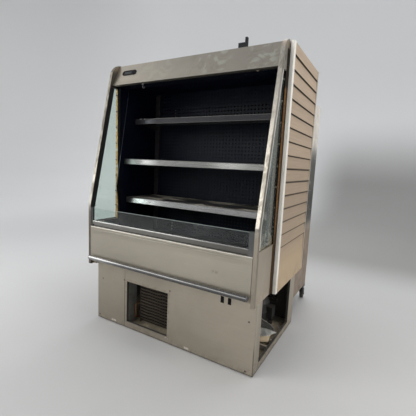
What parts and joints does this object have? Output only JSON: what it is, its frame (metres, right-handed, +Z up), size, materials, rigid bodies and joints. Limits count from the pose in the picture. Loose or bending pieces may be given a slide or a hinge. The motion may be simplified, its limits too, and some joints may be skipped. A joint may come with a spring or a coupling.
{
  "type": "open multideck display fridge",
  "caption": "Open-front refrigerated display cabinet with leaning glazed sides, slatted side cladding, hung shelves, glass riser and a base with the condensing unit.",
  "frame": {"origin": "middle of the footprint on the floor", "axes": "+Z up, +X to the right seen from the front, +Y towards the back; the open front faces -Y"},
  "size_m": [1.252, 1.3984, 1.811],
  "materials": {
    "stainless": "satin brushed, faintly smudged",
    "chrome_rail": "polished",
    "steel_tube": "satin",
    "base_sheet": "satin grey-beige enamel",
    "base_pan_sheet": "dusty zinc-coated sheet",
    "grey_plate": "matt",
    "screw_steel": "zinc plated",
    "black_plastic": "matt black",
    "rocker_plastic": "gloss black",
    "coil_metal": "dusty fins",
    "motor_black": "satin black",
    "fan_alloy": "matt",
    "copper": "dull copper",
    "tray_plastic": "beige",
    "foam_body": "black liner over foam",
    "roof_sheet": "coated sheet over foam",
    "casing_sheet": "satin sheet over foam",
    "black_sheet": "satin black enamel",
    "clear_glass": "clear",
    "green_glass": "pale green",
    "post_grey": "satin",
    "cream_post": "satin cream",
    "slat_board": "tan grained boards",
    "lamp": "opal",
    "caster_black": "satin black",
    "tyre_rubber": "black",
    "shelf_sheet": "dark, dusty",
    "rail_metal": "bright",
    "foam_panel": "stainless skin over foam"
  },
  "bodies": {
    "cabinet": {"air_baffle": "grey_plate", "air_honeycomb": "black_plastic", "back_panel": "black_sheet", "base_front_panel": "base_sheet", "base_pan": "base_pan_sheet", "base_side_panel_left": "base_sheet", "base_side_panel_right": "base_sheet", "bumper_end_caps": "black_plastic", "bumper_tube": "steel_tube", "cable_gland": "black_plastic", "canopy_fascia": "stainless", "canopy_soffit": "black_sheet", "castor_mounts": "caster_black", "cladding_left": "slat_board", "cladding_right": "slat_board", "compressor": "motor_black", "condenser_coil": "coil_metal", "condenser_fan_shroud": "motor_black", "corner_posts": "cream_post", "deck_tray": "black_sheet", "display_bezel": "rocker_plastic", "evaporator_coil": "coil_metal", "evaporator_fan_plate": "motor_black", "front_panel": "stainless", "insulated_wall_left": "foam_body", "insulated_wall_right": "foam_body", "light_tube": "lamp", "rear_casing": "casing_sheet", "refrigerant_pipes": "copper", "return_air_grille": "black_sheet", "riser_end_posts": "post_grey", "riser_glass": "clear_glass", "riser_rail": "chrome_rail", "roof_bracket": "motor_black", "roof_panel": "roof_sheet", "screws": "screw_steel", "side_frame_left": "stainless", "side_frame_right": "stainless", "side_glass_left": "green_glass", "side_glass_right": "green_glass", "side_lower_panel_left": "foam_panel", "side_lower_panel_right": "foam_panel", "slotted_uprights": "black_sheet", "switch_bezels": "black_plastic", "tub": "foam_body"},
    "castor_left": {"castor_fork_left": "caster_black"},
    "wheel_left": {"castor_wheel_left": "tyre_rubber"},
    "castor_right": {"castor_fork_right": "caster_black"},
    "wheel_right": {"castor_wheel_right": "tyre_rubber"},
    "switch_left": {"rocker_left": "rocker_plastic"},
    "switch_right": {"rocker_right": "rocker_plastic"},
    "condenser_blades": {"condenser_fan": "fan_alloy"},
    "evaporator_blades": {"evaporator_fan": "fan_alloy"},
    "top_shelf": {"shelf_top": "shelf_sheet", "price_rail_top": "rail_metal"},
    "middle_shelf": {"shelf_middle": "shelf_sheet", "price_rail_middle": "rail_metal"},
    "bottom_shelf": {"shelf_bottom": "shelf_sheet", "price_rail_bottom": "rail_metal"},
    "tray": {"evaporation_tray": "tray_plastic"}
  },
  "joints": [
    {"name": "castor_left_swivel", "type": "hinge", "parent": "cabinet", "child": "castor_left", "pos_m": [-0.541, 0.63775, 0.098], "axis": [0, 0, 1], "continuous": true},
    {"name": "castor_left_roll", "type": "hinge", "parent": "castor_left", "child": "wheel_left", "pos_m": [-0.541, 0.66175, 0.0375], "axis": [1, 0, 0], "continuous": true},
    {"name": "castor_right_swivel", "type": "hinge", "parent": "cabinet", "child": "castor_right", "pos_m": [0.541, 0.63775, 0.098], "axis": [0, 0, 1], "continuous": true},
    {"name": "castor_right_roll", "type": "hinge", "parent": "castor_right", "child": "wheel_right", "pos_m": [0.541, 0.66175, 0.0375], "axis": [1, 0, 0], "continuous": true},
    {"name": "switch_left_tilt", "type": "hinge", "parent": "cabinet", "child": "switch_left", "pos_m": [0.39, -0.58425, 0.387], "axis": [1, 0, 0], "range_deg": [-8, 8]},
    {"name": "switch_right_tilt", "type": "hinge", "parent": "cabinet", "child": "switch_right", "pos_m": [0.4345, -0.58425, 0.387], "axis": [1, 0, 0], "range_deg": [-8, 8]},
    {"name": "condenser_fan_spin", "type": "hinge", "parent": "cabinet", "child": "condenser_blades", "pos_m": [-0.075, -0.40625, 0.181], "axis": [0, 1, 0], "continuous": true},
    {"name": "evaporator_fan_spin", "type": "hinge", "parent": "cabinet", "child": "evaporator_blades", "pos_m": [0, 0.27275, 0.66], "axis": [0, 0, 1], "continuous": true},
    {"name": "top_shelf_lift", "type": "hinge", "parent": "cabinet", "child": "top_shelf", "pos_m": [0, -0.06725, 1.407], "axis": [-1, 0, 0], "range_deg": [0, 12]},
    {"name": "middle_shelf_lift", "type": "hinge", "parent": "cabinet", "child": "middle_shelf", "pos_m": [0, -0.06725, 1.116], "axis": [-1, 0, 0], "range_deg": [0, 12]},
    {"name": "bottom_shelf_lift", "type": "hinge", "parent": "cabinet", "child": "bottom_shelf", "pos_m": [0, -0.06725, 0.841], "axis": [-1, 0, 0], "range_deg": [0, 12]},
    {"name": "tray_slide", "type": "slide", "parent": "cabinet", "child": "tray", "axis": [1, 0, 0], "range_m": [0, 0.2]}
  ]
}
